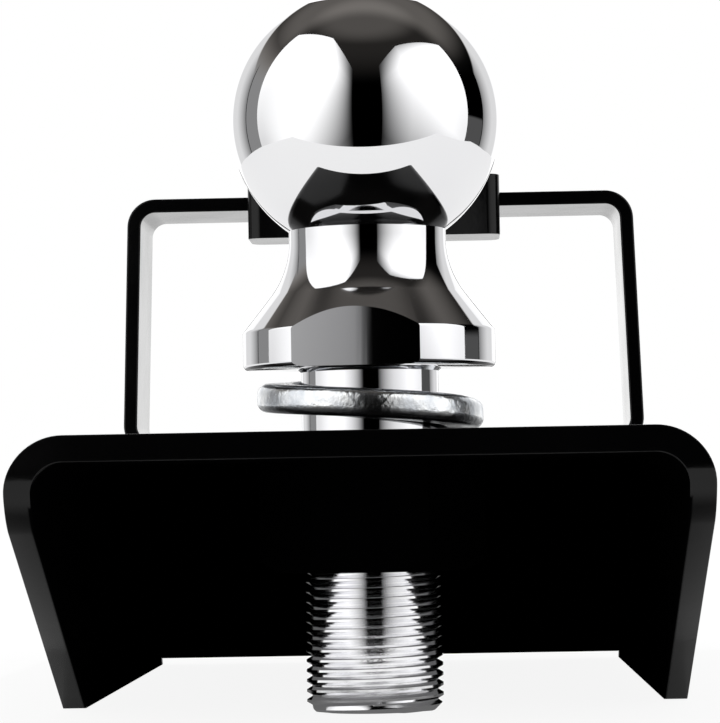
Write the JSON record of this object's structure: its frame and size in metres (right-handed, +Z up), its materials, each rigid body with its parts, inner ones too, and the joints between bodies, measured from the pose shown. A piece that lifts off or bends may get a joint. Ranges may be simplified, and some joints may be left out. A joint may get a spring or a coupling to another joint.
{
  "type": "forklift tow ball attachment",
  "caption": "Steel fork attachment: folded channel with a tow ball in front and a rectangular loop with a clamp screw behind for a fork tine.",
  "frame": {"origin": "under the middle of the channel, level with the lower edges of its flanges", "axes": "+Z up, +Y from the ball back to the loop along the fork tine, +X to the right seen from the ball's end"},
  "size_m": [0.12, 0.233, 0.1553],
  "materials": {
    "black_coat": "gloss black powder coat",
    "chrome": "mirror chrome plate",
    "zinc": "bright zinc plate, slightly rough",
    "screw_steel": "bright turned steel"
  },
  "bodies": {
    "frame": {"ball_bracket": "black_coat", "rear_web": "black_coat", "fork_loop": "black_coat", "clamp_block": "black_coat", "loop_welds": "black_coat", "web_welds": "black_coat", "block_welds": "black_coat", "tow_ball": "chrome", "spring_washer": "zinc", "hex_nut": "black_coat"},
    "pad": {"pressure_pad": "zinc", "pad_ring": "screw_steel"},
    "screw": {"clamp_screw": "screw_steel"},
    "bar": {"cross_bar": "screw_steel", "knob_front": "screw_steel", "knob_rear": "screw_steel"}
  },
  "joints": [
    {"name": "clamp_feed", "type": "slide", "parent": "frame", "child": "pad", "axis": [0, 0, 1], "range_m": [-0.024, 0.004]},
    {"name": "clamp_turn", "type": "hinge", "parent": "pad", "child": "screw", "pos_m": [-0.001, 0.0775, 0.12], "axis": [0, 0, 1], "range_deg": [-4320, 720]},
    {"name": "bar_slide", "type": "slide", "parent": "screw", "child": "bar", "axis": [0, 1, 0], "range_m": [-0.0175, 0.0175]}
  ],
  "couplings": [
    {"joint": "clamp_feed", "follows": "clamp_turn", "m_per_rad": 0.00031831}
  ]
}
